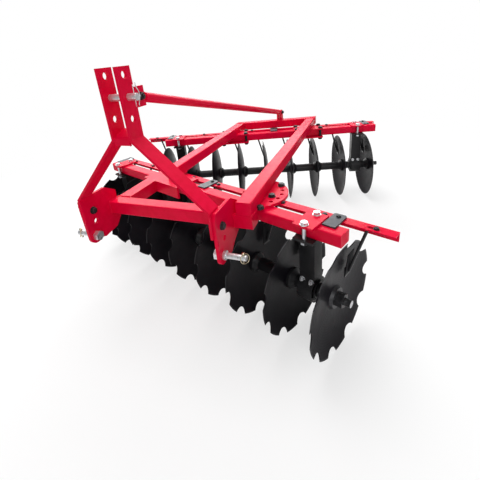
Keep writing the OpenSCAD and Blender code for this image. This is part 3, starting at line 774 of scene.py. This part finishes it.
# %% Bearing nuts
HOUSING_V, NUT_U, NUT_Z = 35, 24, 338  # the housing's face, and a nut's place along the gang and up
bearing_nuts = [(gang.at(-place + u, side * HOUSING_V, NUT_Z), gang.across * side)
                for gang in GANGS for place in HANGERS for u in (-NUT_U, NUT_U) for side in (-1, 1)]
bolts("bearing_nuts", bearing_nuts, (19, 9, 27, 2.5, 12, 6), zinc, "zinc")

# %% [markdown]
# Each scraper is clamped through a slot in the scraper bar, so that it can be set closer to its disc.
# The slots are a perforation: the tree makes one round-ended cutter, repeats it along the bar and
# takes it away from a copy of the bar.

# %% The slot tree
slot_tree = new_tree("slots in a bar", {
    "Finish": None, "Count": DISCS, "Pitch": -PITCH * MM, "Length": 0.050, "Width": 0.014,
    "Place": (0.0, 0.0, 0.0), "Turn": (0.0, 0.0, 0.0)})


def slots(g):
    length, width = g.given_number("Length"), g.given_number("Width")
    both = g.node("GeometryNodeJoinGeometry")
    for side in (-1, 1):
        end = g.node("GeometryNodeMeshCylinder", None, {
            "Vertices": 24, "Radius": width / 2, "Depth": 0.030}).outputs[0]
        moved = g.node("GeometryNodeTransform", None, {
            0: end, "Translation": g.join((length - width) * (side / 2), 0.0, 0.0)}).outputs[0]
        g.tree.links.new(moved, both.inputs[0])
    cutter = g.node("GeometryNodeConvexHull", None, {0: both.outputs[0]}).outputs[0]
    row = g.node("GeometryNodeInstanceOnPoints", None, {
        "Points": points_in_line(g), "Instance": cutter}).outputs[0]
    solid = g.node("GeometryNodeRealizeInstances", None, {0: stood_in_place(g, row)}).outputs[0]
    return g.node("GeometryNodeMeshBoolean", {"operation": "DIFFERENCE"}, {
        0: g.given["Geometry"], 1: solid}).outputs[0]


close_tree(slot_tree, slots(slot_tree), smooth=30)
SLOT_U = 116  # a slot's middle along the bar from its disc


def loose_copy(name):
    mesh = nodes[name].data.copy()
    clean(mesh, 1e-5, outward=False)
    return mesh


for gang, part in ((FRONT, "front"), (REAR, "rear")):
    slotted = grow(slot_tree, part + "_slotted_bar", red, "red_paint", "frame",
                   loose_copy(part + "_scraper_bar"), Turn=(0.0, 0.0, gang.turn),
                   Place=tuple(gang.at(gang.dish * SLOT_U, BAR_V, gang.top)))
    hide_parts(part + "_scraper_bar")

# %% [markdown]
# Where two plates meet, the welder leaves a rippled bead, and the paint runs over it. A bead follows a
# path, so it is a curve: resampled to short steps, its radius waved by a sine, and swept by a circle.

# %% The weld bead tree
weld_tree = new_tree("weld beads", {
    "Finish": None, "Bead": 0.0042, "Ripple": 0.16, "Step": 0.0025, "Wave": 0.008})


def beads(g):
    path = g.node("GeometryNodeMeshToCurve", None, {0: g.given["Geometry"]}).outputs[0]
    fine = g.node("GeometryNodeResampleCurve", {"mode": "LENGTH"}, {
        0: path, "Length": g.given["Step"]}).outputs[0]
    along = g.number("GeometryNodeSplineParameter", None, None, 1)
    wave = (along * (2 * math.pi) / g.given_number("Wave")).sin()
    size = (wave * g.given_number("Ripple") + 1) * g.given_number("Bead")
    round_path = g.node("GeometryNodeSetCurveRadius", None, {0: fine, "Radius": size}).outputs[0]
    ring = g.node("GeometryNodeCurvePrimitiveCircle", {"mode": "RADIUS"}, {
        "Resolution": 8, "Radius": 1.0}).outputs[0]
    return g.node("GeometryNodeCurveToMesh", None, {
        "Curve": round_path, "Profile Curve": ring, "Scale": size, "Fill Caps": True}).outputs[0]


close_tree(weld_tree, beads(weld_tree), smooth=60)


def paths(name, lines):
    mesh = bpy.data.meshes.new(name)
    verts, edges = [], []
    for line in lines:
        start = len(verts)
        verts += [tuple(p) for p in line]
        edges += [(start + i, start + i + 1) for i in range(len(line) - 1)]
    mesh.from_pydata(verts, edges, [])
    return mesh


welds = []


def weld(*places):
    welds.append([from_hitch(*place) for place in places])


# A bead's middle lies half a millimetre off a face that it runs along.
PLATE_FACE, CROSSBAR_FACE, MAST_FACE, LUG_FACE = 364.5, 218.5, 31.5, 718.5
TUBE_V = CROSSBAR_BACK - 38.5
for side in (-1, 1):
    x = side * PLATE_FACE
    weld((x, 138, 578), (x, 138, SEAT), (x, 218, SEAT), (x, 218, 578))
    for y in (-51, 31):
        weld((x, y, 630), (x, y, 738))
weld((-362, CROSSBAR_FACE, SEAT), (-288, CROSSBAR_FACE, SEAT))
weld((-284.5, CROSSBAR_FACE, 648), (-284.5, CROSSBAR_FACE, 580))
for x in (52, 40):
    weld((x, MAST_FACE, 1178), (x, MAST_FACE, 1258))
weld((-230, 529.5, SEAT + 0.5), (-156, 529.5, SEAT + 0.5))
for tube, ends in ((LEFT_TUBE, (531, 640)), (RIGHT_TUBE, (140, 216))):
    for x in tube:
        weld(*((x, y, SEAT + 0.5) for y in ends))
        weld(*((x, rear_line(x, TUBE_V), z) for z in (654, 716)))
    weld(*((x, rear_line(x, TUBE_V), 718.3) for x in (tube[0] + 4.5, tube[1] - 4.5)))
ahead = Vector((heading.x, heading.y, 0)).normalized()
for offset in (-22, -7.5, 7.5, 22):
    foot = Vector((tie_rear.x, tie_rear.y, LUG_FACE)) + side_way * offset
    weld(foot - ahead * 29, foot + ahead * 29)
grow(weld_tree, "weld_beads", red, "red_paint", "frame", paths("welds", welds))

# %% [markdown]
# Both ends of each axle carry a coarse thread. A thread is a helix, which the spiral curve gives when
# its two radii are equal. A thin three-sided profile makes its crest.

# %% The thread tree
thread_tree = new_tree("axle thread", {
    "Finish": None, "Radius": 0.0169, "Lead": 0.003, "Length": 0.029, "Crest": 0.0011})


def threads(g):
    radius, lead, length = (g.given_number(k) for k in ("Radius", "Lead", "Length"))
    helix = g.node("GeometryNodeCurveSpiral", None, {
        "Resolution": 28, "Rotations": length / lead, "Start Radius": radius,
        "End Radius": radius, "Height": length}).outputs[0]
    crest = g.node("GeometryNodeCurvePrimitiveCircle", {"mode": "RADIUS"}, {
        "Resolution": 3, "Radius": g.given["Crest"]}).outputs[0]
    swept = g.node("GeometryNodeCurveToMesh", None, {
        "Curve": helix, "Profile Curve": crest, "Fill Caps": True}).outputs[0]
    return g.node("GeometryNodeInstanceOnPoints", None, {
        "Points": g.given["Geometry"], "Instance": swept, "Rotation": aimed(g)}).outputs[0]


close_tree(thread_tree, threads(thread_tree), smooth=50)
THREAD_U = 51  # from an end disc to where its thread starts
for gang in GANGS:
    ends = [(gang.at(THREAD_U, 0, AXLE_Z), gang.along),
            (gang.at(-GANG_L - THREAD_U, 0, AXLE_Z), -gang.along)]
    grow(thread_tree, gang.body + "_threads", axle_finishes[gang], "dark_steel", gang.body,
         points("axle ends", ends))

# %% [markdown]
# Round wire makes the small parts that a farmer handles: the ring of each linchpin and the clip
# through the top link pin. They are curves with a round bevel, turned into meshes.

# %% Wire and pins
def wire(lines, radius, closed=False):
    curve = bpy.data.curves.new("wire", "CURVE")
    curve.dimensions, curve.bevel_depth, curve.bevel_resolution = "3D", radius * MM, 3
    curve.use_fill_caps = True
    for line in lines:
        spline = curve.splines.new("POLY")
        spline.points.add(len(line) - 1)
        for point, place in zip(spline.points, line):
            point.co = (*place, 1)
        spline.use_cyclic_u = closed
    return add("wire", curve)


def ring_path(middle, axis, radius, steps=40, turn=0.0, arc=360.0):
    """Places round an axis; turn and arc in degrees."""
    axis = Vector(axis).normalized()
    first = axis.orthogonal().normalized()
    first = Matrix.Rotation(math.radians(turn), 3, axis) @ first
    second = axis.cross(first)
    count = steps if arc == 360.0 else steps + 1
    return [middle + (first * math.cos(a) + second * math.sin(a)) * radius * MM
            for a in (math.radians(arc) * i / steps for i in range(count))]


RING_X, BAR_X, RING_TILT = 480, 474, 0.75  # places along a lower pin, and the lean of its ring
rings = [ring_path(from_hitch(side * RING_X, 0, 517), (side * RING_TILT, -0.6, 0.25), 22.2)
         for side in (-1, 1)]
bars, heads = ([[from_hitch(side * BAR_X, 0, z) for z in ends] for side in (-1, 1)]
               for ends in ((492, 543), (536, 545)))
settle(wire(rings, 1.9, closed=True), "linchpin_rings", brass, "frame")
settle(wire(bars, 4.5), "linchpin_bars", brass, "frame")
settle(wire(heads, 7.5), "linchpin_heads", brass, "frame")

CLIP_X, CLIP_TOP, CLIP_FOOT, BOW, STEPS = 81, 1272, 1188, 15, 12
leg = [from_hitch(CLIP_X, -10, z) for z in (CLIP_TOP, CLIP_FOOT - 2)]
hook = ring_path(from_hitch(CLIP_X, -1, CLIP_TOP), (1, 0, 0), 9, 18, 180, 180)
bow = [from_hitch(CLIP_X, 8 + BOW * math.sin(math.pi * step / STEPS) ** 2,
                  CLIP_TOP - (CLIP_TOP - CLIP_FOOT) * step / STEPS) for step in range(STEPS + 1)]
settle(wire([leg, hook, bow], 1.8), "top_link_clip", zinc, "frame")

# %% [markdown]
# Between the mast bars a folded plate closes the bend: its face rises to the back and its lip turns
# down at the front. It is one short profile, drawn out between the two bars.

# %% Folded plate at the mast's bend
def drawn_out(profile, x0, x1):
    """A closed outline in Y and Z drawn out along X, with its ends closed."""
    count = len(profile)
    verts = [from_hitch(x, y, z) for x in (x0, x1) for y, z in profile]
    faces = [(i, (i + 1) % count, (i + 1) % count + count, i + count) for i in range(count)]
    faces += [tuple(range(count)), tuple(range(2 * count - 1, count - 1, -1))]
    return add_mesh("drawn out", verts, faces)


folded = drawn_out([(-50, 1034), (-50, 1062), (-40, 1070), (26, 1092), (29, 1084), (-38, 1061),
                    (-42, 1058), (-42, 1034)], -40, 40)
soften(folded, 1.5)
folded = settle(folded, "folded_mast_plate", red, "frame")
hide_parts("mast_spacer")

# %% [markdown]
# The camera stands where the photographer stood: ahead of the machine on its right, a little above
# it, and tipped by a few degrees. The photograph is a cut from a larger frame, so the lens is shifted.

# %% Camera
yaw, pitch, roll = (math.radians(a) for a in (23.69382, 22.45968, -5.77620))
FOCAL, CENTRE, SIZE = 318.4864, (236.7611, 184.0080), 480  # in the photograph's pixels
SENSOR = 36
back = Vector((math.sin(yaw) * math.cos(pitch), -math.cos(yaw) * math.cos(pitch), math.sin(pitch)))
right = Vector((math.cos(yaw), math.sin(yaw), 0))
up = back.cross(right)
right, up = (right * math.cos(roll) + up * math.sin(roll),
             up * math.cos(roll) - right * math.sin(roll))
lens = bpy.data.cameras.new("camera")
lens.sensor_width = SENSOR
lens.lens = FOCAL / SIZE * SENSOR
lens.shift_x = (SIZE / 2 - CENTRE[0]) / SIZE
lens.shift_y = (CENTRE[1] - SIZE / 2) / SIZE
lens.clip_end = 100
camera = add("camera", lens)
camera.matrix_world = Matrix.Translation(from_hitch(943.104, -1062.266, 1351.480)) @ Matrix(
    (right, up, back)).transposed().to_4x4()
bpy.context.scene.camera = camera
print("camera at", [round(c, 3) for c in camera.location])

# %% [markdown]
# The machine stands on a plain white floor that only keeps a soft shadow. Far from the machine the
# floor fades into the white of the backdrop, so no horizon shows.

# %% Floor and backdrop
REACH = 40  # half the floor's side, in metres
SHADOW_LEFT = 0.36  # share of the floor's own shading that the camera sees under the machine
floor = add_mesh("floor", [(x * REACH, y * REACH, 0) for x, y in (
    (-1, -1), (1, -1), (1, 1), (-1, 1))], [(0, 1, 2, 3)])
pale = Finish("pale floor", (0.86, 0.86, 0.86), roughness=0.9)
px, py, _ = pale.split(pale.place)
far = (px * px + py * py).root().ramp(1.9, 4.0)
camera_ray = pale.number("ShaderNodeLightPath", output="Is Camera Ray")
white = pale.node("ShaderNodeEmission", None, {"Color": (1, 1, 1, 1), "Strength": 1.0}).outputs[0]
fade = (far * SHADOW_LEFT + (1 - SHADOW_LEFT)) * camera_ray
mixed = pale.node("ShaderNodeMixShader", None, {
    0: fade, 1: pale.shader.outputs[0], 2: white}).outputs[0]
pale.tree.links.new(mixed, pale.tree.nodes["Material Output"].inputs[0])
dress(floor, pale)

world = bpy.data.worlds.new("studio")
world.use_nodes = True
bpy.context.scene.world = world
sky = Graph(world.node_tree)
seen = sky.number("ShaderNodeLightPath", output="Is Camera Ray")
soft = world.node_tree.nodes["Background"]
soft.inputs[0].default_value = (1, 1, 1, 1)
soft.inputs[1].default_value = 0.36
plain = sky.node("ShaderNodeBackground", None, {0: (1, 1, 1, 1), 1: 1.0}).outputs[0]
sky.tree.links.new(
    sky.node("ShaderNodeMixShader", None, {0: seen, 1: soft.outputs[0], 2: plain}).outputs[0],
    sky.tree.nodes["World Output"].inputs[0])
print("floor and backdrop ready")

# %% [markdown]
# Three soft lamps light the machine. One hangs over it, as the sky does in a yard. A weak one ahead
# on its right opens the shadows. The widest stands behind it, and its glancing light makes the tops
# of the tubes pale.

# %% Lamps
def lamp(name, place, target, size, height, watts):
    light = bpy.data.lights.new(name, "AREA")
    light.shape, light.size, light.size_y, light.energy = "ELLIPSE", size, height, watts
    obj = add(name, light)
    obj.location = place
    obj.rotation_euler = (Vector(target) - Vector(place)).to_track_quat("-Z", "Y").to_euler()
    obj.visible_camera = False
    print(f"{name}: {watts} W at {place}")


lamp("overhead softbox", (-0.4, 0.3, 4.4), (0, 0, 0.4), 3.4, 3.4, 150)
lamp("side softbox", (2.6, -4.2, 2.4), (0, 0, 0.4), 2.2, 2.2, 60)
lamp("rear softbox", (-2.2, 4.8, 3.5), (0, 0, 0.5), 8.0, 3.4, 390)

# %% Finish
bpy.context.scene.view_settings.view_transform = "Standard"
